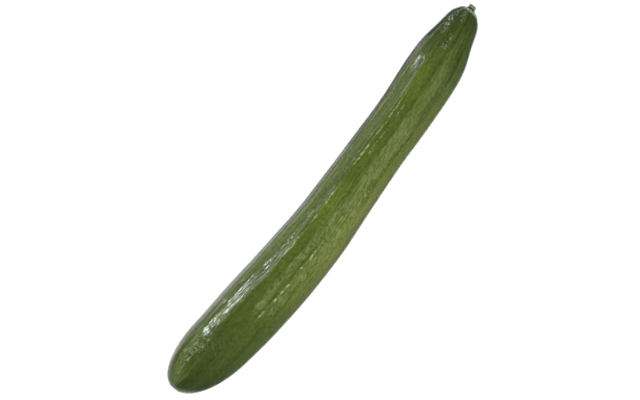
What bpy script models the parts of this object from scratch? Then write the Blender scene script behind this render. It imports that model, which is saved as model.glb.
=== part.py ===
"""A long English cucumber in its tight clear shrink film.

Metres, +Z up. The cucumber lies along X on its belly, with the blossom end at -X and
the stem end at +X, and its gentle bend lies flat, in the XY plane. The film's outside
is one smooth lofted surface. The film's inside and the fruit are that surface moved
inwards along its normals, so the film stays clear of the fruit everywhere.
"""

import math

import bmesh
import bpy
from mathutils import Vector

# Driving dimensions
LENGTH = 0.330
FILM_WALL = 0.0003
FILM_GAP = 0.0003

# Places along X, counted from the middle of the length
BLOSSOM_TIP_X = -LENGTH / 2
STUB_TIP_X = LENGTH / 2
DOME_TIP_X = STUB_TIP_X - 0.0026
FILM_EDGE_X = DOME_TIP_X - 0.0012

# Half the width over the film, before the two ends are rounded off: (x, radius)
GIRTH = (
    (-0.165, 0.0216),
    (-0.120, 0.0224),
    (-0.090, 0.0232),
    (-0.045, 0.0225),
    (0.000, 0.0206),
    (0.050, 0.0192),
    (0.078, 0.0192),
    (0.104, 0.0197),
    (0.118, 0.0193),
    (0.128, 0.0180),
    (0.139, 0.0151),
    (0.150, 0.0125),
    (0.165, 0.0098),
)

# The centreline's sideways bend: (x, y)
BEND = (
    (-0.165, 0.0084),
    (-0.127, 0.0035),
    (-0.078, -0.0012),
    (-0.025, -0.0036),
    (0.036, -0.0016),
    (0.085, 0.0001),
    (0.128, 0.0036),
    (0.165, 0.0076),
)

# The centreline's height over the surface that the belly lies on: (x, z)
HEIGHT = (
    (-0.165, 0.0215),
    (-0.090, 0.0225),
    (-0.045, 0.0218),
    (0.000, 0.0200),
    (0.050, 0.0187),
    (0.104, 0.0190),
    (0.139, 0.0183),
    (0.165, 0.0172),
)

# How each end is rounded: the length of the rounding and its superellipse power
BLOSSOM_ROUNDING = 0.0455
BLOSSOM_POWER = 2.1
BLOSSOM_FACET_RADIUS = 0.0040
STEM_ROUNDING = 0.0130
STEM_POWER = 2.15

# Shallow ribs run along the fruit, and the film bridges the grooves between them
RIB_COUNT = 10
RIB_PHASE = math.radians(25.0)
GROOVE_DEPTH = 0.0010
FILM_GROOVE_SHARE = 0.60
RIB_WANDER = math.radians(5.0)
RIB_FADE = 0.030
SWELL_DEPTH = 0.00018

# The belly is flattened where the cucumber lies. It touches at two pads, one each side of
# its weight, and elsewhere it arches a hair's breadth off the surface
BELLY_HALF_ANGLE = math.radians(32.0)
REST_PADS = ((-0.088, -0.060), (0.092, 0.108))
BELLY_ARCH = 0.00015

# The cut stub of the stem, and the scar that the blossom left
STUB_RADIUS = 0.0024
STUB_RIDGES = 5
STUB_RIDGE_DEPTH = 0.12
STUB_FLARE = 1.35
STUB_FLARE_LENGTH = 0.0008
STUB_HOLLOW_RADIUS = 0.0015
STUB_HOLLOW_DEPTH = 0.0004
SCAR_RADIUS = 0.0024
SCAR_FLOOR_RADIUS = 0.0014
SCAR_DEPTH = 0.0004

# The film's gathered edge round the stub
PLEATS = 8
PLEAT_DEPTH = 0.00025
PLEAT_REACH = 0.010
EDGE_WAVE = 0.0007

# Mesh resolution
AROUND = 40
BLOSSOM_RINGS = 12
BODY_RINGS = 30
NECK_RINGS = 8
NORMAL_STEP = 1e-5

STRAIGHT_START_X = BLOSSOM_TIP_X + BLOSSOM_ROUNDING
NECK_START_X = DOME_TIP_X - STEM_ROUNDING


def smooth_through(points, x):
    """The value at x of a smooth curve through the points."""
    last = len(points) - 1
    x = min(max(x, points[0][0]), points[-1][0])
    i = max(k for k in range(last) if points[k][0] <= x or k == 0)

    def slope(k):
        before = points[max(k - 1, 0)]
        after = points[min(k + 1, last)]
        return (after[1] - before[1]) / (after[0] - before[0])

    (x0, v0), (x1, v1) = points[i], points[i + 1]
    span = x1 - x0
    t = (x - x0) / span
    rise = t * t * (3 - 2 * t)
    lead_in = t * (1 - t) ** 2 * span * slope(i)
    lead_out = t * t * (t - 1) * span * slope(i + 1)
    return v0 + (v1 - v0) * rise + lead_in + lead_out


def rounding(distance, length, power):
    """The share of the full width at this distance inside a rounded end."""
    if distance >= length:
        return 1.0
    inward = (length - max(distance, 0.0)) / length
    return (1 - inward**power) ** (1 / power)


def facet_inset():
    """How far the blossom's flat facet cuts into its rounded end."""
    share = BLOSSOM_FACET_RADIUS / smooth_through(GIRTH, BLOSSOM_TIP_X)
    inward = (1 - share**BLOSSOM_POWER) ** (1 / BLOSSOM_POWER)
    return BLOSSOM_ROUNDING * (1 - inward)


FACET_INSET = facet_inset()


def film_radius(x):
    from_blossom = x - BLOSSOM_TIP_X + FACET_INSET
    from_stem = DOME_TIP_X - x
    blossom_share = rounding(from_blossom, BLOSSOM_ROUNDING, BLOSSOM_POWER)
    stem_share = rounding(from_stem, STEM_ROUNDING, STEM_POWER)
    return smooth_through(GIRTH, x) * blossom_share * stem_share


def ease(share):
    """0 up to 0, 1 from 1, and a smooth step between."""
    share = min(max(share, 0.0), 1.0)
    return share * share * (3 - 2 * share)


def off_belly(angle):
    """0 under the belly, where the ribs are pressed flat, and 1 everywhere else."""
    from_bottom = abs((angle % (2 * math.pi)) - math.pi)
    return ease((from_bottom - 0.5 * BELLY_HALF_ANGLE) / (0.5 * BELLY_HALF_ANGLE))


def belly_height(x):
    """How high the flattened belly is over the surface: nothing on a pad."""
    on_pad = any(low <= x <= high for low, high in REST_PADS)
    return 0.0 if on_pad else BELLY_ARCH


def groove(x, angle):
    """0 on a rib's crest and 1 in the middle of a groove. The ribs fade at the blossom end."""
    wander = RIB_WANDER * math.sin(21 * x + 1.3 * math.sin(angle))
    wave = 0.5 - 0.5 * math.cos(RIB_COUNT * (angle - RIB_PHASE - wander))
    strength = 0.75 + 0.25 * math.sin(3 * angle + 17 * x)
    fade = ease((x - BLOSSOM_TIP_X) / RIB_FADE) * off_belly(angle)
    return wave**1.5 * strength * fade


def swell(x, angle):
    """A slow unevenness along the fruit."""
    wave = math.sin(95 * x + 2 * angle) * math.sin(41 * x - angle + 0.8)
    return SWELL_DEPTH * wave * off_belly(angle)


def pleat(x, angle):
    """The small folds where the film is gathered towards its edge."""
    near = min(max(1 - (FILM_EDGE_X - x) / PLEAT_REACH, 0.0), 1.0)
    return PLEAT_DEPTH * near * near * math.sin(PLEATS * angle + 0.7)


def outer_point(x, angle):
    """A point on the film's outside. The angle is 0 on top and grows towards +Y."""
    radius = film_radius(x)
    share = radius / smooth_through(GIRTH, x)
    relief = (
        swell(x, angle) + pleat(x, angle) - FILM_GROOVE_SHARE * GROOVE_DEPTH * groove(x, angle)
    )
    reach = radius + relief * share
    y = smooth_through(BEND, x) + reach * math.sin(angle)
    z = smooth_through(HEIGHT, x) + reach * math.cos(angle)
    return Vector((x, y, z))


def inward_point(x, angle, depth):
    """The outer point moved inwards by depth, and kept as far above the resting plane."""
    along = outer_point(x + NORMAL_STEP, angle) - outer_point(x - NORMAL_STEP, angle)
    across = outer_point(x, angle + 0.01) - outer_point(x, angle - 0.01)
    normal = along.cross(across).normalized()
    point = outer_point(x, angle) - normal * depth
    point.z = max(point.z, depth + belly_height(x))
    return point


def ring_angles():
    return [2 * math.pi * i / AROUND for i in range(AROUND)]


def body_places():
    """Where the rings stand along X, from the blossom facet to the film's edge."""
    places = []
    for i in range(BLOSSOM_RINGS):
        turn = (i / BLOSSOM_RINGS) ** 0.9 * math.pi / 2
        reach = STRAIGHT_START_X - BLOSSOM_TIP_X
        places.append(BLOSSOM_TIP_X + reach * (1 - math.cos(turn)))
    for i in range(BODY_RINGS):
        share = i / BODY_RINGS
        places.append(STRAIGHT_START_X + (NECK_START_X - STRAIGHT_START_X) * share)
    for i in range(NECK_RINGS + 1):
        turn = i / NECK_RINGS * math.pi / 2
        places.append(NECK_START_X + (FILM_EDGE_X - NECK_START_X) * math.sin(turn))
    return places


def add_ring(bm, points):
    return [bm.verts.new(point) for point in points]


def join_rings(bm, first, second):
    """Faces between two rings of equal length, facing out when X grows from first to second."""
    count = len(first)
    for i in range(count):
        j = (i + 1) % count
        bm.faces.new((first[i], first[j], second[j], second[i]))


def make_material(name, colour, roughness, alpha=1.0):
    material = bpy.data.materials.new(name)
    material.use_nodes = True
    shader = material.node_tree.nodes["Principled BSDF"]
    shader.inputs["Base Color"].default_value = (*colour, 1.0)
    shader.inputs["Roughness"].default_value = roughness
    shader.inputs["Metallic"].default_value = 0.0
    shader.inputs["Alpha"].default_value = alpha
    return material


def make_object(name, bm, material):
    bmesh.ops.recalc_face_normals(bm, faces=bm.faces)
    mesh = bpy.data.meshes.new(name)
    bm.to_mesh(mesh)
    bm.free()
    mesh.materials.append(material)
    mesh.shade_smooth()
    mesh.set_sharp_from_angle(angle=math.radians(40))
    made = bpy.data.objects.new(name, mesh)
    bpy.context.collection.objects.link(made)
    return made


def stub_ring(x, radius, ridge_depth):
    """A ring round the centreline, with the stem's five ridges when ridge_depth is given."""
    centre = Vector((x, smooth_through(BEND, x), smooth_through(HEIGHT, x)))
    points = []
    for angle in ring_angles():
        reach = radius * (1 + ridge_depth * math.cos(STUB_RIDGES * angle))
        points.append(centre + Vector((0, reach * math.sin(angle), reach * math.cos(angle))))
    return points


def fruit_depth(x, angle):
    """How deep the fruit's skin lies under the film's outside."""
    share = film_radius(x) / smooth_through(GIRTH, x)
    bridged = (1 - FILM_GROOVE_SHARE) * GROOVE_DEPTH * groove(x, angle) * share
    return FILM_WALL + FILM_GAP + bridged


def add_blossom_scar(bm, first_ring):
    """Closes the blossom end with a slightly sunken round scar."""
    skin_x = BLOSSOM_TIP_X + FILM_WALL + FILM_GAP
    rim = add_ring(bm, stub_ring(skin_x, SCAR_RADIUS, 0.0))
    floor = add_ring(bm, stub_ring(skin_x + SCAR_DEPTH, SCAR_FLOOR_RADIUS, 0.0))
    join_rings(bm, rim, first_ring)
    join_rings(bm, floor, rim)
    bm.faces.new(floor)


def add_stub(bm, last_ring):
    """Rounds the neck off into the cut stub of the stem, a little hollow at its cut."""
    skin_x = DOME_TIP_X - FILM_WALL - FILM_GAP
    stages = (
        (skin_x, STUB_RADIUS * STUB_FLARE, 0.5 * STUB_RIDGE_DEPTH),
        (skin_x + STUB_FLARE_LENGTH, STUB_RADIUS, STUB_RIDGE_DEPTH),
        (STUB_TIP_X, STUB_RADIUS, STUB_RIDGE_DEPTH),
        (STUB_TIP_X - STUB_HOLLOW_DEPTH, STUB_HOLLOW_RADIUS, STUB_RIDGE_DEPTH),
    )
    ring = last_ring
    for x, radius, ridge_depth in stages:
        following = add_ring(bm, stub_ring(x, radius, ridge_depth))
        join_rings(bm, ring, following)
        ring = following
    bm.faces.new(ring)


def build_cucumber():
    """The whole fruit: ribbed body, neck, stub of the stem and blossom scar, one solid."""
    bm = bmesh.new()
    rings = []
    for x in body_places():
        points = [inward_point(x, angle, fruit_depth(x, angle)) for angle in ring_angles()]
        rings.append(add_ring(bm, points))
    for first, second in zip(rings, rings[1:]):
        join_rings(bm, first, second)
    add_blossom_scar(bm, rings[0])
    add_stub(bm, rings[-1])
    skin = make_material("cucumber_skin", (0.075, 0.115, 0.022), 0.45)
    return make_object("cucumber", bm, skin)


def film_ring(x, depth):
    """A ring of the film. The one at its open edge is wavy, as the film shrank unevenly."""
    points = []
    for angle in ring_angles():
        at_edge = x >= FILM_EDGE_X - NORMAL_STEP
        wave = 0.5 + 0.5 * math.sin(3 * angle + 0.4) * math.cos(2 * angle)
        shift = EDGE_WAVE * wave if at_edge else 0.0
        points.append(inward_point(x - shift, angle, depth))
    return points


def build_film():
    """The film: a thin shell closed at the blossom end and open round the stub."""
    bm = bmesh.new()
    outer = []
    inner = []
    for x in body_places():
        outer.append(add_ring(bm, film_ring(x, 0.0)))
        inner.append(add_ring(bm, film_ring(x, FILM_WALL)))
    for first, second in zip(outer, outer[1:]):
        join_rings(bm, first, second)
    for first, second in zip(inner, inner[1:]):
        join_rings(bm, second, first)
    join_rings(bm, outer[-1], inner[-1])
    bm.faces.new(outer[0])
    bm.faces.new(list(reversed(inner[0])))
    film = make_material("clear_film", (0.86, 0.88, 0.84), 0.15, alpha=0.3)
    return make_object("shrink_film", bm, film)


def clear_scene():
    for old in list(bpy.data.objects):
        bpy.data.objects.remove(old, do_unlink=True)


clear_scene()
build_cucumber()
build_film()
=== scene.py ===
"""The looks of the long cucumber in its clear shrink film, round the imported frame.

Both pieces are one family of surfaces: the film's outside is a smooth lofted body, and
the fruit's skin is that body moved inwards along its normals. Each vertex carries its
place on the straightened cucumber, so the patterns of both materials follow the bend.
"""

import math
from typing import NamedTuple

import bpy
import numpy as np
from mathutils import Matrix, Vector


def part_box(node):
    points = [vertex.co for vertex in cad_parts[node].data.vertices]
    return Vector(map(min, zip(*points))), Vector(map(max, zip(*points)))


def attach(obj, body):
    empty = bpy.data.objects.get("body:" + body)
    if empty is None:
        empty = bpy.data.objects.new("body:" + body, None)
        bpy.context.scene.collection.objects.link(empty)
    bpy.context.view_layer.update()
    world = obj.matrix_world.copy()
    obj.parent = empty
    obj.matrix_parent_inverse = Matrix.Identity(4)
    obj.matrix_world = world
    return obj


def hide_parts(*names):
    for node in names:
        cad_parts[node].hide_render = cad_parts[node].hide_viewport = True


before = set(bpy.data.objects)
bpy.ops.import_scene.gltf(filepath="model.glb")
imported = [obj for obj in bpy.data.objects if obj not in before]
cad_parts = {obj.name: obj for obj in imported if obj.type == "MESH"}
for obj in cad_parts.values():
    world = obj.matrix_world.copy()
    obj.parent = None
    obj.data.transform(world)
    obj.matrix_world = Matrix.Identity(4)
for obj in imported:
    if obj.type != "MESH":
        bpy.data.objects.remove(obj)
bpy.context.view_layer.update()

# The frame: the ends of the two nodes, the stub and the film's edge
FILM_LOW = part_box("shrink_film")[0]
FRUIT_LOW, FRUIT_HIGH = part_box("cucumber")
BLOSSOM_TIP_X = FILM_LOW[0]
STUB_TIP_X = FRUIT_HIGH[0]
STUB_LENGTH = 0.0026
FILM_EDGE_GAP = 0.0012
DOME_TIP_X = STUB_TIP_X - STUB_LENGTH
FILM_EDGE_X = DOME_TIP_X - FILM_EDGE_GAP
CLEARANCE = FRUIT_LOW[2] - FILM_LOW[2]

# The same stations as the solids have: half the width over the film, the sideways
# bend and the height of the centreline, each at a place along X
GIRTH = (
    (-0.165, 0.0216),
    (-0.120, 0.0224),
    (-0.090, 0.0232),
    (-0.045, 0.0225),
    (0.000, 0.0206),
    (0.050, 0.0192),
    (0.078, 0.0192),
    (0.104, 0.0197),
    (0.118, 0.0193),
    (0.128, 0.0180),
    (0.139, 0.0151),
    (0.150, 0.0125),
    (0.165, 0.0098),
)
BEND = (
    (-0.165, 0.0084),
    (-0.127, 0.0035),
    (-0.078, -0.0012),
    (-0.025, -0.0036),
    (0.036, -0.0016),
    (0.085, 0.0001),
    (0.128, 0.0036),
    (0.165, 0.0076),
)
HEIGHT = (
    (-0.165, 0.0215),
    (-0.090, 0.0225),
    (-0.045, 0.0218),
    (0.000, 0.0200),
    (0.050, 0.0187),
    (0.104, 0.0190),
    (0.139, 0.0183),
    (0.165, 0.0172),
)

# How each end is rounded
BLOSSOM_ROUNDING = 0.0455
BLOSSOM_POWER = 2.1
BLOSSOM_FACET_RADIUS = 0.0040
STEM_ROUNDING = 0.0130
STEM_POWER = 2.15

# Ribs, grooves and the film that bridges them
RIB_COUNT = 10
RIB_PHASE = math.radians(25.0)
GROOVE_DEPTH = 0.0010
GROOVE_POWER = 1.5
FILM_GROOVE_SHARE = 0.60
FRUIT_GROOVE_SHARE = 0.15
RIB_WANDER = math.radians(5.0)
RIB_FADE = 0.030
CREASE_ROUNDING = 0.004

# Slow waves over the body, in radians a metre along and in whole waves round it. The
# swell multiplies two of them, each with its start.
WANDER_ALONG = 21.0
WANDER_LEAN = 1.3
RIB_UNEVENNESS = 0.25
UNEVEN_ALONG = 17.0
UNEVEN_ROUND = 3
SWELL_DEPTH = 0.00018
SWELL_WAVES = (
    (95.0, 2, 0.0),
    (41.0, -1, 0.8),
)

# The flattened belly: it touches at two pads and arches a little elsewhere
BELLY_HALF_ANGLE = math.radians(32.0)
REST_PADS = ((-0.088, -0.060), (0.092, 0.108))
BELLY_ARCH = 0.00015

# The stub of the stem and the blossom's scar
STUB_RADIUS = 0.0024
STUB_RIDGES = 5
STUB_RIDGE_DEPTH = 0.12
STUB_ROOT_X = DOME_TIP_X - CLEARANCE
SCAR_RADIUS = 0.0024
SCAR_FLOOR_SHARE = 0.6
SCAR_DEPTH = 0.0004

# The stub's rings, from its flared root to its sunken end: the place along X, and the
# shares of its radius and of its ridges
STUB_RINGS = (
    (STUB_ROOT_X, 1.35, 0.5),
    (STUB_ROOT_X + 0.0004, 1.08, 1.0),
    (STUB_ROOT_X + 0.0012, 1.00, 1.0),
    (STUB_TIP_X - 0.0003, 1.00, 1.0),
    (STUB_TIP_X, 0.90, 1.0),
    (STUB_TIP_X - 0.0004, 0.62, 1.0),
)

# The film's gathered edge. Its folds are waves: how many round it, where they start and
# how strong they are
PLEAT_WAVES = (
    (16, 0.7, 1.0),
    (23, 2.1, 0.5),
)
PLEAT_DEPTH = 0.00035
PLEAT_REACH = 0.012
EDGE_WAVE = 0.0007
EDGE_WAVES_ROUND = (3, 2)
EDGE_WAVE_START = 0.4
FILM_THICKNESS = 0.00012

# Mesh resolution
FRUIT_AROUND = 160
FRUIT_ALONG = 460
FILM_AROUND = 200
FILM_ALONG = 240
BLOSSOM_RING_SHARE = 0.16
NECK_RING_SHARE = 0.08

# The steps along and round over which the slope of the surface is measured
NORMAL_STEP = 1e-5
NORMAL_TURN = 0.01

# The radius at which the patterns are laid out round the straightened cucumber
PATTERN_RADIUS = 0.021

STRAIGHT_START_X = BLOSSOM_TIP_X + BLOSSOM_ROUNDING
NECK_START_X = DOME_TIP_X - STEM_ROUNDING


# ---------------------------------------------------------------- shape


def through(points, x):
    """The values at x of a smooth curve through the points."""
    places = np.array([p[0] for p in points])
    values = np.array([p[1] for p in points])
    before = np.maximum(np.arange(len(places)) - 1, 0)
    after = np.minimum(np.arange(len(places)) + 1, len(places) - 1)
    slopes = (values[after] - values[before]) / (places[after] - places[before])
    x = np.clip(x, places[0], places[-1])
    i = np.clip(np.searchsorted(places, x, side="right") - 1, 0, len(places) - 2)
    span = places[i + 1] - places[i]
    t = (x - places[i]) / span
    rise = t * t * (3 - 2 * t)
    lead_in = t * (1 - t) ** 2 * span * slopes[i]
    lead_out = t * t * (t - 1) * span * slopes[i + 1]
    return values[i] + (values[i + 1] - values[i]) * rise + lead_in + lead_out


def rounding(distance, length, power):
    """The share of the full width at this distance inside a rounded end."""
    inward = (length - np.clip(distance, 0.0, length)) / length
    return (1 - inward**power) ** (1 / power)


def facet_inset():
    """How far the blossom's flat facet cuts into its rounded end."""
    share = BLOSSOM_FACET_RADIUS / GIRTH[0][1]
    inward = (1 - share**BLOSSOM_POWER) ** (1 / BLOSSOM_POWER)
    return BLOSSOM_ROUNDING * (1 - inward)


FACET_INSET = facet_inset()


def film_radius(x):
    from_blossom = x - BLOSSOM_TIP_X + FACET_INSET
    from_stem = DOME_TIP_X - x
    blossom_share = rounding(from_blossom, BLOSSOM_ROUNDING, BLOSSOM_POWER)
    stem_share = rounding(from_stem, STEM_ROUNDING, STEM_POWER)
    return through(GIRTH, x) * blossom_share * stem_share


def smooth_step(low, high, value):
    t = np.clip((value - low) / (high - low), 0.0, 1.0)
    return t * t * (3 - 2 * t)


def rib_turn(x, angle):
    """The angle round the fruit in ribs: whole numbers are crests."""
    wander = RIB_WANDER * np.sin(WANDER_ALONG * x + WANDER_LEAN * np.sin(angle))
    return RIB_COUNT * (angle - RIB_PHASE - wander) / (2 * math.pi)


def off_belly(angle):
    """0 under the belly, where the ribs are pressed flat, and 1 everywhere else."""
    from_bottom = np.abs(angle % (2 * math.pi) - math.pi)
    return smooth_step(0.5 * BELLY_HALF_ANGLE, BELLY_HALF_ANGLE, from_bottom)


def belly_height(x):
    """How high the flattened belly is over the surface: nothing on a pad."""
    height = np.full(np.shape(x), BELLY_ARCH)
    for low, high in REST_PADS:
        height[(low <= x) & (x <= high)] = 0.0
    return height


def rib_strength(x, angle):
    wave = np.sin(UNEVEN_ROUND * angle + UNEVEN_ALONG * x)
    strength = 1 - RIB_UNEVENNESS + RIB_UNEVENNESS * wave
    return strength * smooth_step(0.0, RIB_FADE, x - BLOSSOM_TIP_X) * off_belly(angle)


def groove(x, angle):
    """The fruit's own relief: 0 on a rib's crest and 1 in the middle of a groove."""
    wave = 0.5 - 0.5 * np.cos(2 * math.pi * rib_turn(x, angle))
    return wave**GROOVE_POWER * rib_strength(x, angle)


def facet(x, angle):
    """The taut film's relief: 0 on a crest's crease and 1 in the middle of a flat facet."""
    turn = rib_turn(x, angle)
    across = 2 * np.abs(turn - np.round(turn))
    crease = np.sqrt(across**2 + CREASE_ROUNDING) - math.sqrt(CREASE_ROUNDING)
    return (1 - (1 - crease) ** 2) * rib_strength(x, angle)


def swell(x, angle):
    """A slow unevenness along the fruit."""
    wave = 1.0
    for along, around, start in SWELL_WAVES:
        wave = wave * np.sin(along * x + around * angle + start)
    return SWELL_DEPTH * wave * off_belly(angle)


def pleat(x, angle):
    """The folds where the film is gathered towards its edge."""
    near = np.clip(1 - (FILM_EDGE_X - x) / PLEAT_REACH, 0.0, 1.0)
    wave = sum(share * np.sin(count * angle + start) for count, start, share in PLEAT_WAVES)
    return PLEAT_DEPTH * near * near * wave


def body_point(x, angle, relief):
    """Points on the lofted body, raised by relief. The angle is 0 on top, towards +Y."""
    radius = film_radius(x)
    share = radius / through(GIRTH, x)
    reach = radius + relief * share
    y = through(BEND, x) + reach * np.sin(angle)
    z = through(HEIGHT, x) + reach * np.cos(angle)
    return np.stack([x + 0 * angle, y, z], axis=-1)


def film_relief(x, angle):
    grooves = FILM_GROOVE_SHARE * GROOVE_DEPTH * facet(x, angle)
    return swell(x, angle) + pleat(x, angle) - grooves


def fruit_relief(x, angle):
    """The skin follows the tight film, and lies a little deeper in the grooves."""
    deeper = FRUIT_GROOVE_SHARE * GROOVE_DEPTH * groove(x, angle)
    return film_relief(x, angle) - pleat(x, angle) - deeper


def inward(x, angle, relief, depth):
    """The body with this relief, moved inwards by depth, and as far above the floor."""
    def point(px, pa):
        return body_point(px, pa, relief(px, pa))

    along = point(x + NORMAL_STEP, angle) - point(x - NORMAL_STEP, angle)
    across = point(x, angle + NORMAL_TURN) - point(x, angle - NORMAL_TURN)
    normal = np.cross(along, across)
    normal /= np.linalg.norm(normal, axis=-1, keepdims=True)
    points = point(x, angle) - normal * depth
    points[..., 2] = np.maximum(points[..., 2], FILM_LOW[2] + depth + belly_height(x))
    return points


def places_along(count):
    """Where the rings stand along X, closer together towards both ends."""
    blossom = int(count * BLOSSOM_RING_SHARE)
    neck = int(count * NECK_RING_SHARE)
    turn = np.linspace(0.0, math.pi / 2, blossom, endpoint=False)
    first = BLOSSOM_TIP_X + (STRAIGHT_START_X - BLOSSOM_TIP_X) * (1 - np.cos(turn))
    middle = np.linspace(STRAIGHT_START_X, NECK_START_X, count - blossom - neck)
    turn = np.linspace(0.0, math.pi / 2, neck + 1)[1:]
    last = NECK_START_X + (FILM_EDGE_X - NECK_START_X) * np.sin(turn)
    return np.concatenate([first, middle, last])


def ring_angles(count):
    return np.arange(count) * 2 * math.pi / count


# ---------------------------------------------------------------- meshes


def ring_faces(rings, around):
    """The quads between rings of equal length, facing out."""
    row = np.arange(around)
    following = np.roll(row, -1)
    starts = np.arange(rings - 1)[:, None] * around
    corners = [starts + row, starts + around + row, starts + around + following, starts + following]
    return np.stack(corners, axis=-1).reshape(-1, 4)


def store(mesh, name, kind, values):
    layer = mesh.attributes.new(name, kind, "POINT")
    field = "vector" if kind == "FLOAT_VECTOR" else "value"
    layer.data.foreach_set(field, np.ascontiguousarray(values, np.float32).ravel())


def loft(name, rings, caps):
    """A smooth mesh through the rings. caps: which ends are closed by a flat face."""
    points = np.array(rings).reshape(-1, 3)
    count = len(rings)
    around = len(rings[0])
    faces = [tuple(face) for face in ring_faces(count, around).tolist()]
    if "first" in caps:
        faces.append(tuple(range(around)))
    if "last" in caps:
        faces.append(tuple(reversed(range((count - 1) * around, count * around))))
    mesh = bpy.data.meshes.new(name)
    mesh.from_pydata(points.tolist(), [], faces)
    mesh.shade_smooth()
    made = bpy.data.objects.new(name, mesh)
    bpy.context.scene.collection.objects.link(made)
    return made


def pattern_place(x, angle):
    """Where a point lies on the straightened cucumber."""
    y = PATTERN_RADIUS * np.sin(angle)
    z = PATTERN_RADIUS * np.cos(angle)
    return np.stack([x + 0 * angle, y, z], axis=-1)


def round_ring(x, radius, ridge_depth, angles):
    reach = radius * (1 + ridge_depth * np.cos(STUB_RIDGES * angles))
    y = through(BEND, x) + reach * np.sin(angles)
    z = through(HEIGHT, x) + reach * np.cos(angles)
    return np.stack([np.full_like(angles, x), y, z], axis=-1)


def build_fruit():
    """The fruit with its ribs, neck, stub and scar, one closed surface."""
    angles = ring_angles(FRUIT_AROUND)
    skin_x = BLOSSOM_TIP_X + CLEARANCE
    rings = [
        round_ring(skin_x + SCAR_DEPTH, SCAR_RADIUS * SCAR_FLOOR_SHARE, 0.0, angles),
        round_ring(skin_x, SCAR_RADIUS, 0.0, angles),
    ]
    where = [skin_x, skin_x]
    for x in places_along(FRUIT_ALONG):
        grid = np.full_like(angles, x)
        rings.append(inward(grid, angles, fruit_relief, CLEARANCE))
        where.append(x)
    for x, width, ridged in STUB_RINGS:
        rings.append(round_ring(x, STUB_RADIUS * width, STUB_RIDGE_DEPTH * ridged, angles))
        where.append(x)
    fruit = loft("cucumber_fruit", rings, ("first", "last"))
    grid_x = np.repeat(np.array(where), FRUIT_AROUND)
    grid_angle = np.tile(angles, len(where))
    store(fruit.data, "straight", "FLOAT_VECTOR", pattern_place(grid_x, grid_angle))
    return fruit


def edge_shift(x, angles):
    """How far the film's last ring, its edge round the stub, is drawn back in places."""
    if x < FILM_EDGE_X - NORMAL_STEP:
        return np.zeros_like(angles)
    first, second = EDGE_WAVES_ROUND
    wave = np.sin(first * angles + EDGE_WAVE_START) * np.cos(second * angles)
    return EDGE_WAVE * (0.5 + 0.5 * wave)


def build_film():
    """The film: a thin taut shell, closed at the blossom end and open round the stub."""
    angles = ring_angles(FILM_AROUND)
    places = places_along(FILM_ALONG)
    rings = []
    for x in places:
        ring_x = np.full_like(angles, x) - edge_shift(x, angles)
        rings.append(inward(ring_x, angles, film_relief, 0.0))
    film = loft("film_wrap", rings, ("first",))
    x = np.repeat(places, FILM_AROUND)
    angle = np.tile(angles, len(places))
    store(film.data, "straight", "FLOAT_VECTOR", pattern_place(x, angle))
    shell = film.modifiers.new("thickness", "SOLIDIFY")
    shell.thickness = FILM_THICKNESS
    shell.offset = -1.0
    return film


# ---------------------------------------------------------------- patterns

MILLIMETRE = 0.001
MM_PER_DEGREE = 0.37

# In mm along: where the stub's own colour starts, the width of its border, the film's
# edge and how far from it the film is gathered
STUB_START = 1000 * (DOME_TIP_X + 0.0002)
STUB_BORDER = 0.8
FILM_EDGE = 1000 * FILM_EDGE_X
FILM_EDGE_WIDTH = 3.0


class Pattern(NamedTuple):
    """A noise laid on the straightened cucumber.

    along and around are its fineness for each metre, low and high are the values that
    become 0 and 1, and start tells apart the patterns that have the same fineness.
    """

    along: float
    around: float
    low: float = 0.0
    high: float = 1.0
    detail: float = 3.0
    roughness: float = 0.6
    start: float = 0.0


class Strokes(NamedTuple):
    """Uneven strokes: how they lean from lengthwise, and their length and width in mm.

    low and high are the values that become 0 and 1, as in a pattern.
    """

    lean: float
    length: float
    width: float
    low: float
    high: float


# The film's relief, and how deep its slow waves and its lengthwise wrinkles are in mm
SLOW_WAVES = Pattern(70, 140, roughness=0.5)
WRINKLES = Pattern(40, 420)
CRINKLES = Pattern(115, 460, detail=2.0)
WAVE_DEPTH = 0.40
WRINKLE_DEPTH = 0.30

# How the borders of the zones wander, in mm along and in degrees round, and how far the
# fine lines do in degrees
BORDER_ALONG = Pattern(45, 110, start=3.0)
BORDER_ROUND = Pattern(55, 110, start=9.0)
BORDER_WANDER = (34.0, 18.0)
LINE_DRIFT = Pattern(55, 0, start=5.0)
LINE_WANDER = 16.0

# What makes the film milky and white, and the painted sheen, reflections and glints on it
GRAINS = Pattern(420, 640, 0.44, 0.60, detail=2.0, roughness=0.5)
HAIR_LINES = Pattern(26, 620, 0.47, 0.62, start=7.0)
RIM_REFLECTION_LINES = Pattern(26, 620, 0.28125, 0.90625, start=7.0)
GLINT_DOTS = Pattern(560, 620, 0.52, 0.60, detail=2.0, start=17.0)
GLINT_BEADS = Pattern(340, 230, 0.48, 0.56, detail=2.0, start=13.0)
GLINT_GROUPS = Pattern(70, 70, 0.38, 0.48, detail=1.0, roughness=0.5, start=11.0)
EDGE_FOLDS = Pattern(200, 900, 0.42, 0.60, detail=2.0)
FEATHERS = Strokes(math.radians(24), 6.0, 2.1, 0.48, 0.60)
SLANTED_FOLDS = Strokes(math.radians(50), 12.0, 1.1, 0.53, 0.62)
STROKE_DETAIL = 3.0
STROKE_ROUGHNESS = 0.6
STROKE_TWIST = 0.6

# What colours the skin and the stub; the speckles are where their noise is low
CLOUDS = Pattern(50, 90, 0.35, 0.65, detail=4.0, roughness=0.5)
STREAKS = Pattern(18, 420, 0.45, 0.70)
SPECKLES = Pattern(420, 600, 0.56, 0.42, start=19.0)
STUB_FIBRES = Pattern(150, 900, 0.40, 0.60, detail=2.0)

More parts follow.
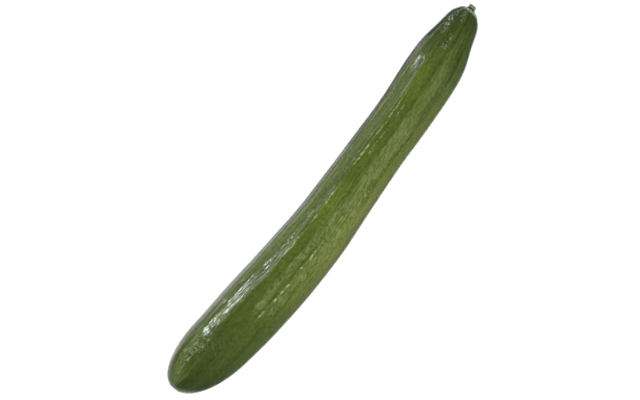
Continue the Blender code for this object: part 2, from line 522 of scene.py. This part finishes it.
# Colours
DARK_GREEN = (0.036, 0.060, 0.007, 1.0)
MID_GREEN = (0.095, 0.141, 0.013, 1.0)
PALE_GREEN = (0.192, 0.226, 0.028, 1.0)
FRESH_GREEN = (0.168, 0.238, 0.027, 1.0)
# The dark green of the speckles, and of the painted shade in the creases
SPECKLE_AND_SHADE_GREEN = (0.020, 0.036, 0.006, 1.0)
# The colour of the film's haze and of the painted sheen and reflection in it
HAZE_AND_SHEEN_GREEN = (0.26, 0.32, 0.11, 1.0)
# The colour of the painted reflection of the table along the low left side
RIM_REFLECTION_GREEN = (0.52, 0.60, 0.38, 1.0)
# The colours of the painted highlights along the creases and of the painted glints on them
CREASE_HIGHLIGHT_GREEN = (0.31, 0.43, 0.07, 1.0)
GLINT_GREEN = (0.62, 0.72, 0.42, 1.0)
# The colour of the painted glints on the crinkled film
GLINT_DOT_GREEN = (0.62, 0.72, 0.50, 1.0)
STUB_BROWN = (0.16, 0.15, 0.06, 1.0)
STUB_GREEN = (0.42, 0.46, 0.27, 1.0)
FILM_WHITE = (0.80, 0.86, 0.72, 1.0)
FLOOR_GREY = (0.12, 0.12, 0.12, 1.0)
WHITE = (1.0, 1.0, 1.0, 1.0)

# Where the skin turns from dark at both ends to its middle green, in mm along
BLOSSOM_DARK = (-150.0, -55.0)
STEM_DARK = (150.0, 90.0)

# How strong the streaks and the speckles are
STREAK_SHARE = 0.25
SPECKLE_SHARE = 0.36

# How far the clouds mottle the flank and the fresher patches
FLANK_MOTTLING = 0.5
PATCH_MOTTLING = 0.4

# Zones on the straightened cucumber go from low to high mm along and from low to high
# degrees round. Each kind has its softness at the borders, in mm and in degrees. The
# flank is the skin's paler side:
FLANK = (-60, 70, -165, -25)
FLANK_SOFTNESS = (35.0, 20.0)

# Where the skin is a fresher green, and how much:
FRESH_PATCHES = (
    (-12, 12, 3, 26, 1.00),
    (88, 120, 4, 26, 0.55),
    (-162, -146, 8, 30, 0.28),
    (-166, -120, 32, 60, 0.65),
)
FRESH_SOFTNESS = (9.0, 4.0)

# Where the film is crinkled, and how deep the crinkles are in mm:
CRINKLED = (
    (-124, -66, 27, 48, 0.42),
    (-141, -121, 20, 46, 0.60),
    (-60, -5, 28, 44, 0.28),
    (99, 118, 28, 50, 0.25),
    (125, 133, 3, 18, 1.1),
    (139, 155, 26, 62, 1.1),
)
CRINKLE_SOFTNESS = (4.0, 3.0)

# Where the film looks milky, partly as its own haze and partly as painted sheen and reflection, with
# painted highlight
# grains among the crinkles: how much all over, in grains, in feathery strokes and in hair lines:
HAZY_AND_SHEEN = (
    (-90, 3, -10, 3, 0.04, 0.20, 0.36, 0.12),
    (-85, 3, -36, -16, 0.00, 0.12, 0.38, 0.20),
    (3, 75, -36, -6, 0.04, 0.12, 0.34, 0.14),
    (-27, 3, -19, -9, 0.03, 0.12, 0.32, 0.14),
    (-45, 25, -70, -30, 0.00, 0.08, 0.36, 0.10),
    (75, 140, -28, -6, 0.00, 0.10, 0.10, 0.08),
    (92, 122, -30, -12, 0.12, 0.00, 0.06, 0.00),
    (-168, -148, 4, 38, 0.14, 0.00, 0.00, 0.25),
    (-60, 0, 31, 58, 0.00, 0.17, 0.10, 0.24),
    (0, 116, 39, 58, 0.00, 0.20, 0.06, 0.24),
    (-75, 15, 53, 63, 0.12, 0.10, 0.00, 0.25),
    (-114, -90, 27, 46, 0.00, 0.30, 0.20, 0.50),
    (-90, -66, 27, 38, 0.00, 0.24, 0.18, 0.42),
    (-160, -118, 20, 46, 0.05, 0.30, 0.10, 0.10),
    (-130, -20, 48, 58, 0.08, 0.10, 0.00, 0.45),
    (-155, 150, 57, 61, 0.25, 0.10, 0.00, 0.45),
    (-70, 110, -80, -36, 0.02, 0.12, 0.06, 0.12),
)
HAZE_AND_SHEEN_SOFTNESS = (8.0, 2.0)
GRAINY_ALL_OVER = 0.08
LINED_ALL_OVER = 0.07
MOST_HAZE_AND_SHEEN = 0.85

# Where the film has slanting folds, and how milky they are
FOLDED = (-140, -119, -8, 24)
FOLD_SOFTNESS = (4.0, 5.0)
FOLD_HAZE = 0.30

# Painted glints: where small white dots stand for the crinkled film catching the light, and how
# strongly:
GLINT_DOTTED = (
    (138, 156, 34, 72, 0.80),
    (126, 132, 5, 15, 0.90),
    (148, 156, 5, 24, 0.35),
    (-145, -122, 22, 44, 0.35),
    (-112, -84, 28, 45, 0.22),
    (98, 116, 30, 46, 0.12),
)
GLINT_DOT_SOFTNESS = (3.0, 3.0)

# A painted reflection: the pale strip low on the left side, where the film seen edge on mirrors the
# bright table
RIM_REFLECTION = (-148, 70, 67, 82)
RIM_REFLECTION_SOFTNESS = (8.0, 2.0)

# Fine lines along the film: low and high mm, degrees round, half width in degrees, strength.
# Dark ones are painted shade in the creases, and pale ones are painted highlights along the creases,
# with painted glints on them.
SHADED_CREASES = (
    (-160, 100, 64.0, 1.6, 0.55),
    (-93, -27, -12.5, 1.6, 0.60),
    (-20, 40, 1.5, 1.6, 0.40),
    (40, 120, -1.0, 1.6, 0.30),
    (-60, 120, -47.0, 1.2, 0.25),
    (-20, 110, -29.0, 1.0, 0.25),
    (12, 135, -38.0, 7.0, 0.50),
)
HIGHLIGHT_LINES = (
    (-63, 94, 23.0, 1.2, 0.62),
    (-93, -30, -17.0, 1.0, 0.30),
    (-8, 30, 5.0, 1.0, 0.30),
    (90, 125, 26.0, 1.2, 0.50),
)
GLINT_LINES = (
    (-63, 94, 23.0, 2.6, 0.55),
    (-93, -30, -17.0, 2.2, 0.60),
    (35, 85, 12.0, 2.0, 0.30),
    (-62, -5, 36.0, 2.2, 0.45),
)

# The share of a fine line's half width that has its full strength, and the softness of
# its ends in mm
LINE_CORE = 0.3
LINE_END = 5.0

# How clear a painted crease highlight is where painted glints gather on it, over its faintest
HIGHLIGHT_GAIN = 0.6
HIGHLIGHT_FAINTEST = 0.3

# Shallow grooves along the film, which part its highlights into rows; their strength is
# their depth in mm
GROOVES = (
    (-98, -35, 34.0, 3.0, 0.30),
    (-100, -70, 40.5, 2.0, 0.15),
    (96, 122, 37.0, 2.5, 0.22),
    (96, 116, 32.5, 1.5, 0.12),
)

# Gloss, and how the film shows where it is seen edge on and where it is gathered
SKIN_ROUGHNESS = 0.5
SKIN_SPECULAR = 0.2
COAT_IOR = 1.75
FILM_ROUGHNESS = 0.09
GRAZING_POWER = 5.0
GRAZING_HAZE = 0.12
GRAZING_GLOSS = 0.80
EDGE_FOLD_HAZE = 0.55
EDGE_HAZE = 0.15
FLOOR_GLOW = 0.97
FLOOR_ROUGHNESS = 0.9


# ---------------------------------------------------------------- materials


class Shader:
    """A material's node tree, with short ways to add and join nodes."""

    def __init__(self, name):
        self.material = bpy.data.materials.new(name)
        self.material.use_nodes = True
        self.tree = self.material.node_tree
        self.tree.nodes.clear()
        self.output = self.tree.nodes.new("ShaderNodeOutputMaterial")

    def node(self, kind, inputs=None, **settings):
        made = self.tree.nodes.new("ShaderNode" + kind)
        for key, value in settings.items():
            setattr(made, key, value)
        for key, value in (inputs or {}).items():
            self.put(made.inputs[key], value)
        return made

    def put(self, socket, value):
        """Sets a socket to a value, or links it to another node's output."""
        if isinstance(value, bpy.types.NodeSocket):
            self.tree.links.new(value, socket)
        else:
            socket.default_value = value

    def finish(self, surface):
        """Gives the material its surface shader."""
        self.put(self.output.inputs[0], surface.outputs[0])
        return self.material

    def math(self, operation, first, second=0.0, third=0.0):
        made = self.node("Math", {0: first, 1: second, 2: third}, operation=operation)
        return made.outputs[0]

    def times(self, first, second):
        return self.math("MULTIPLY", first, second)

    def total(self, values):
        """The sum of the values."""
        result = values[0]
        for value in values[1:]:
            result = self.math("ADD", result, value)
        return result

    def mix(self, share, first, second):
        made = self.node("Mix", data_type="RGBA")
        self.put(made.inputs[0], share)
        self.put(made.inputs[6], first)
        self.put(made.inputs[7], second)
        return made.outputs[2]

    def blend(self, share, first, second):
        """A mix of two surface shaders."""
        return self.node("MixShader", {0: share, 1: first.outputs[0], 2: second.outputs[0]})

    def ramp(self, value, low, high):
        """The value spread so that low becomes 0 and high becomes 1, clipped."""
        made = self.node("MapRange", {0: value, 1: low, 2: high}, clamp=True)
        return made.outputs[0]

    def window(self, value, low, high, soft):
        """1 where the value is between low and high, fading to 0 over soft at each side."""
        rise = self.ramp(value, low - soft, low + soft)
        fall = self.ramp(value, high + soft, high - soft)
        return self.times(rise, fall)

    def straight(self, scale, shift=(0.0, 0.0, 0.0)):
        """The place on the straightened cucumber, scaled along and across."""
        place = self.node("Attribute", attribute_name="straight").outputs["Vector"]
        made = self.node("Mapping", {"Vector": place, "Scale": scale, "Location": shift})
        return made.outputs["Vector"]

    def place(self):
        """The place on the straightened cucumber: along in millimetres, round in degrees."""
        x, y, z = self.node("SeparateXYZ", {0: self.straight((1, 1, 1))}).outputs
        along = self.times(x, 1000.0)
        turn = self.times(self.math("ARCTAN2", y, z), 180.0 / math.pi)
        return along, turn

    def zone(self, place, borders, softness):
        """1 inside a zone of the straightened cucumber and 0 outside it."""
        low_x, high_x, low_turn, high_turn = borders
        along = self.window(place[0], low_x, high_x, softness[0])
        turn = self.window(place[1], low_turn, high_turn, softness[1])
        return self.times(along, turn)

    def zones(self, place, rows, softness):
        """The sum of zones, each with a strength of its own."""
        shares = []
        for *borders, strength in rows:
            shares.append(self.times(self.zone(place, borders, softness), strength))
        return self.total(shares)

    def noise(self, pattern):
        """A pattern's noise as it is, about a half on average."""
        scale = (pattern.along, pattern.around, pattern.around)
        inputs = {"Vector": self.straight(scale, (pattern.start, 0.0, 0.0)), "Scale": 1.0}
        inputs.update({"Detail": pattern.detail, "Roughness": pattern.roughness})
        return self.node("TexNoise", inputs).outputs["Fac"]

    def pattern(self, pattern):
        """A pattern's noise, spread between its low and its high value."""
        return self.ramp(self.noise(pattern), pattern.low, pattern.high)

    def strokes(self, place, kind):
        """The pattern of a kind of leaning strokes."""
        round_mm = self.times(place[1], MM_PER_DEGREE)
        far = self.times(place[0], math.cos(kind.lean))
        along = self.math("MULTIPLY_ADD", round_mm, math.sin(kind.lean), far)
        far = self.times(place[0], -math.sin(kind.lean))
        across = self.math("MULTIPLY_ADD", round_mm, math.cos(kind.lean), far)
        where = {0: self.math("DIVIDE", along, kind.length), 1: self.math("DIVIDE", across, kind.width)}
        inputs = {"Vector": self.node("CombineXYZ", where).outputs[0], "Scale": 1.0}
        inputs.update({"Detail": STROKE_DETAIL, "Roughness": STROKE_ROUGHNESS})
        inputs["Distortion"] = STROKE_TWIST
        noise = self.node("TexNoise", inputs).outputs["Fac"]
        return self.ramp(noise, kind.low, kind.high)

    def wandering(self, value, pattern, reach):
        """The value moved up and down by a pattern's noise."""
        away = self.math("SUBTRACT", self.noise(pattern), 0.5)
        return self.math("MULTIPLY_ADD", away, reach, value)


def wavy(s, place):
    """The place with its zones' borders made uneven."""
    along = s.wandering(place[0], BORDER_ALONG, BORDER_WANDER[0])
    turn = s.wandering(place[1], BORDER_ROUND, BORDER_WANDER[1])
    return along, turn


def fine_lines(s, place, lines):
    """The share of thin lines along the film, each a little wavy."""
    along = place[0]
    turn = s.wandering(place[1], LINE_DRIFT, LINE_WANDER)
    shares = []
    for low_x, high_x, middle, half_width, strength in lines:
        away = s.math("ABSOLUTE", s.math("SUBTRACT", turn, middle))
        line = s.ramp(away, half_width, LINE_CORE * half_width)
        line = s.times(line, s.window(along, low_x, high_x, LINE_END))
        shares.append(s.times(line, strength))
    return s.total(shares)


def film_relief_bump(s, place):
    """The film's fine relief: slow waves, lengthwise wrinkles, crinkles and grooves."""
    waves = s.times(s.noise(SLOW_WAVES), WAVE_DEPTH)
    wrinkles = s.times(s.noise(WRINKLES), WRINKLE_DEPTH)
    crinkles = s.times(s.zones(place, CRINKLED, CRINKLE_SOFTNESS), s.noise(CRINKLES))
    grooves = s.times(fine_lines(s, place, GROOVES), -1.0)
    height = s.total([waves, wrinkles, crinkles, grooves])
    return s.node("Bump", {"Height": height, "Distance": MILLIMETRE}).outputs[0]


def film_haze_and_painted_sheen(s, place, uneven):
    """How milky the clinging film looks, and its painted sheen and reflection: grains, feathery strokes
    and lines in its zones.
    """
    grains = s.pattern(GRAINS)
    feathers = s.strokes(place, FEATHERS)
    lines = s.pattern(HAIR_LINES)
    folds = s.times(s.strokes(place, SLANTED_FOLDS), s.zone(place, FOLDED, FOLD_SOFTNESS))
    shares = [s.times(lines, LINED_ALL_OVER), s.times(grains, GRAINY_ALL_OVER)]
    shares.append(s.times(folds, FOLD_HAZE))
    for *borders, plain, grainy, feathered, lined in HAZY_AND_SHEEN:
        pattern = s.math("MULTIPLY_ADD", grains, grainy, plain)
        pattern = s.math("MULTIPLY_ADD", feathers, feathered, pattern)
        pattern = s.math("MULTIPLY_ADD", lines, lined, pattern)
        shares.append(s.times(s.zone(uneven, borders, HAZE_AND_SHEEN_SOFTNESS), pattern))
    return s.math("MINIMUM", s.total(shares), MOST_HAZE_AND_SHEEN)


def skin_colour(s, place, uneven):
    """Dark ends, a yellower flank and fresher patches, with soft streaks along the ribs, speckles and
    painted shade in the creases.
    """
    ends = s.times(s.ramp(place[0], *BLOSSOM_DARK), s.ramp(place[0], *STEM_DARK))
    base = s.mix(ends, DARK_GREEN, MID_GREEN)
    clouds = s.pattern(CLOUDS)
    flank = s.zone(place, FLANK, FLANK_SOFTNESS)
    flank = s.times(flank, s.math("MULTIPLY_ADD", clouds, FLANK_MOTTLING, 1 - FLANK_MOTTLING))
    base = s.mix(flank, base, PALE_GREEN)
    patches = s.zones(uneven, FRESH_PATCHES, FRESH_SOFTNESS)
    patches = s.times(patches, s.math("MULTIPLY_ADD", clouds, PATCH_MOTTLING, 1 - PATCH_MOTTLING))
    base = s.mix(s.math("MINIMUM", patches, 1.0), base, FRESH_GREEN)
    base = s.mix(s.times(s.pattern(STREAKS), STREAK_SHARE), base, PALE_GREEN)
    base = s.mix(s.times(s.pattern(SPECKLES), SPECKLE_SHARE), base, SPECKLE_AND_SHADE_GREEN)
    # Painted shade: dark lines along the film's creases and grooves
    return s.mix(fine_lines(s, place, SHADED_CREASES), base, SPECKLE_AND_SHADE_GREEN)


def painted_crease_highlights(s, place, base):
    """The colour with painted highlights along its creases and rows of painted glints on them."""
    glint_groups = s.pattern(GLINT_GROUPS)
    clear = s.math("MULTIPLY_ADD", glint_groups, HIGHLIGHT_GAIN, HIGHLIGHT_FAINTEST)
    # Painted highlight: pale lines where the film's crests would catch the lamps
    creases = s.times(clear, fine_lines(s, place, HIGHLIGHT_LINES))
    base = s.mix(creases, base, CREASE_HIGHLIGHT_GREEN)
    glints = s.times(s.times(glint_groups, s.pattern(GLINT_BEADS)), fine_lines(s, place, GLINT_LINES))
    return s.mix(glints, base, GLINT_GREEN)


def painted_glint_dots(s, uneven):
    """The share of painted glints, small white dots in the zones where the film is crinkled."""
    glinting = s.math("MINIMUM", s.zones(uneven, GLINT_DOTTED, GLINT_DOT_SOFTNESS), 1.0)
    return s.times(glinting, s.pattern(GLINT_DOTS))


def skin_material():
    """Green skin under the clinging film, whose gloss and fine relief it wears as a coat."""
    s = Shader("cucumber_skin_fine")
    place = s.place()
    uneven = wavy(s, place)
    # Painted sheen: the film's milky haze, with the lamps' and the table's reflections in it, laid into
    # the skin's colour
    base = s.mix(film_haze_and_painted_sheen(s, place, uneven), skin_colour(s, place, uneven), HAZE_AND_SHEEN_GREEN)
    # Painted reflection of the bright table in the film: a pale streaky strip low on the left side
    rim_reflection = s.times(s.pattern(RIM_REFLECTION_LINES), s.zone(place, RIM_REFLECTION, RIM_REFLECTION_SOFTNESS))
    base = s.mix(rim_reflection, base, RIM_REFLECTION_GREEN)
    # Painted highlights and glints along the creases, where the film's crests would catch the lamps
    base = painted_crease_highlights(s, place, base)
    # Painted glints in small white dots on the crinkled film
    base = s.mix(painted_glint_dots(s, uneven), base, GLINT_DOT_GREEN)
    stub = s.ramp(place[0], STUB_START, STUB_START + STUB_BORDER)
    base = s.mix(stub, base, s.mix(s.pattern(STUB_FIBRES), STUB_BROWN, STUB_GREEN))
    bump = film_relief_bump(s, place)
    inputs = {"Base Color": base, "Roughness": SKIN_ROUGHNESS, "Normal": bump}
    inputs.update({"Specular IOR Level": SKIN_SPECULAR, "Coat Weight": 1.0})
    inputs.update({"Coat Roughness": FILM_ROUGHNESS, "Coat IOR": COAT_IOR, "Coat Normal": bump})
    return s.finish(s.node("BsdfPrincipled", inputs))


def film_material():
    """Clear shrink film: it shows where it is seen edge on, and where it is gathered."""
    s = Shader("clear_film_fine")
    place = s.place()
    bump = film_relief_bump(s, place)
    facing = s.node("LayerWeight", {"Blend": 0.5, "Normal": bump}).outputs["Facing"]
    grazing = s.math("POWER", facing, GRAZING_POWER)
    gathered = s.ramp(place[0], FILM_EDGE - FILM_EDGE_WIDTH, FILM_EDGE)
    folds = s.math("MULTIPLY_ADD", s.pattern(EDGE_FOLDS), EDGE_FOLD_HAZE, EDGE_HAZE)
    gathered = s.times(gathered, folds)
    milky = s.math("MULTIPLY_ADD", grazing, GRAZING_HAZE, gathered)
    haze = s.node("BsdfDiffuse", {"Color": FILM_WHITE})
    body = s.blend(milky, s.node("BsdfTransparent"), haze)
    gloss = s.node("BsdfGlossy", {"Roughness": FILM_ROUGHNESS, "Normal": bump})
    return s.finish(s.blend(s.times(grazing, GRAZING_GLOSS), body, gloss))


def floor_material():
    """A grey matte surface that glows white, as a light table does."""
    s = Shader("pale_floor")
    inputs = {"Base Color": FLOOR_GREY, "Roughness": FLOOR_ROUGHNESS}
    inputs.update({"Emission Color": WHITE, "Emission Strength": FLOOR_GLOW})
    return s.finish(s.node("BsdfPrincipled", inputs))


# ---------------------------------------------------------------- stage

# The photo looks straight down. Its middle and its width are those at the view's height,
# which is about the cucumber's middle.
VIEW_TURN = math.radians(-52.2)
VIEW_X = -0.0036
VIEW_Y = 0.0090
VIEW_WIDTH = 0.4352
VIEW_HEIGHT = 0.020
CAMERA_DISTANCE = 1.0
SENSOR_WIDTH = 36.0
NEAREST_SEEN = 0.01
FLOOR_HALF = 3.0
WORLD_STRENGTH = 0.04

# Lamps: the place, the size, the watts, whether it lights ("diffuse") or shines in gloss
# ("glossy"), and its tint. All are turned to the middle of the cucumber.
NEUTRAL = (1.0, 1.0, 1.0)
DAYLIGHT = (0.86, 0.95, 1.0)
SOFTBOXES = {
    "top_fill": ((0.0, -0.15, 1.6), (1.8, 1.8), 27.0, "diffuse", NEUTRAL),
    "left_fill": ((0.0, 1.2, 0.45), (1.6, 0.7), 4.5, "diffuse", NEUTRAL),
    "right_fill": ((0.0, -1.2, 0.45), (1.6, 0.7), 4.6, "diffuse", NEUTRAL),
    "high_window": ((0.05, 1.1, 0.62), (0.12, 0.30), 0.22, "glossy", DAYLIGHT),
    "blossom_window": ((-0.087, 1.1, 0.300), (0.10, 0.19), 1.30, "glossy", DAYLIGHT),
    "middle_window": ((0.05, 1.1, 0.29), (0.14, 0.20), 0.03, "glossy", DAYLIGHT),
    "stem_window": ((0.22, 1.1, 0.22), (0.14, 0.20), 0.9, "glossy", DAYLIGHT),
    "side_box": ((0.0, -0.9, 0.9), (1.4, 0.7), 0.3, "glossy", NEUTRAL),
}
LAMP_TARGET = (0.0, 0.0, 0.02)

# Strips of the bright table beside the cucumber, as its glossy sides mirror them: the
# middle, the size, the watts and the tint
GLOW_HEIGHT = 0.002
GREENISH = (0.95, 1.0, 0.80)
YELLOWISH = (0.95, 1.0, 0.50)
TABLE_GLOWS = {
    "near_left_glow": ((-0.068, 0.034), (0.214, 0.016), 0.0055, GREENISH),
    "near_stem_glow": ((0.087, 0.038), (0.096, 0.010), 0.0015, GREENISH),
    "far_left_glow": ((0.03, 0.105), (0.36, 0.05), 0.050, GREENISH),
    "blossom_glow": ((-0.192, 0.030), (0.045, 0.10), 0.005, GREENISH),
    "right_glow": ((0.03, -0.080), (0.36, 0.10), 0.008, YELLOWISH),
}


def aim(thing, place, target):
    """Puts a lamp at a place and turns it to the target."""
    away = np.array(place) - np.array(target)
    away /= np.linalg.norm(away)
    side = np.cross((0.0, 0.0, 1.0), away)
    if np.linalg.norm(side) < 1e-6:
        side = np.array((1.0, 0.0, 0.0))
    side /= np.linalg.norm(side)
    up = np.cross(away, side)
    turn = Matrix((side, up, away)).transposed().to_4x4()
    turn.translation = place
    thing.matrix_world = turn


def add_lamp(name, place, size, watts, kind, tint, target):
    """A rectangular lamp. kind: "diffuse" or "glossy" where it lights or shines alone."""
    lamp = bpy.data.lights.new(name, "AREA")
    lamp.shape = "RECTANGLE"
    lamp.size, lamp.size_y = size
    lamp.energy = watts
    lamp.color = tint
    made = bpy.data.objects.new(name, lamp)
    bpy.context.scene.collection.objects.link(made)
    made.visible_camera = False
    made.visible_glossy = kind == "glossy"
    made.visible_diffuse = kind == "diffuse"
    aim(made, place, target)


def add_lights():
    for name, settings in SOFTBOXES.items():
        add_lamp(name, *settings, LAMP_TARGET)
    for name, ((x, y), size, watts, tint) in TABLE_GLOWS.items():
        add_lamp(name, (x, y, GLOW_HEIGHT), size, watts, "glossy", tint, (x, y, 1.0))


def add_camera():
    camera = bpy.data.cameras.new("camera")
    camera.sensor_width = SENSOR_WIDTH
    camera.lens = SENSOR_WIDTH * CAMERA_DISTANCE / VIEW_WIDTH
    camera.clip_start = NEAREST_SEEN
    made = bpy.data.objects.new("camera", camera)
    made.location = (VIEW_X, VIEW_Y, VIEW_HEIGHT + CAMERA_DISTANCE)
    made.rotation_euler = (0.0, 0.0, VIEW_TURN)
    bpy.context.scene.collection.objects.link(made)
    bpy.context.scene.camera = made


def add_floor():
    mesh = bpy.data.meshes.new("floor")
    half = FLOOR_HALF
    corners = [(-half, -half, 0), (half, -half, 0), (half, half, 0), (-half, half, 0)]
    mesh.from_pydata(corners, [], [(0, 1, 2, 3)])
    floor = bpy.data.objects.new("floor", mesh)
    bpy.context.scene.collection.objects.link(floor)
    mesh.materials.append(floor_material())
    floor.visible_glossy = False


def set_world():
    world = bpy.data.worlds.new("studio")
    world.use_nodes = True
    background = world.node_tree.nodes["Background"]
    background.inputs[0].default_value = WHITE
    background.inputs[1].default_value = WORLD_STRENGTH
    bpy.context.scene.world = world


def dress():
    fruit = build_fruit()
    fruit.data.materials.append(skin_material())
    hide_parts("cucumber")
    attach(fruit, "root")
    film = build_film()
    film.data.materials.append(film_material())
    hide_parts("shrink_film")
    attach(film, "root")


bpy.context.scene.view_settings.view_transform = "Standard"
set_world()
add_floor()
add_lights()
add_camera()
dress()
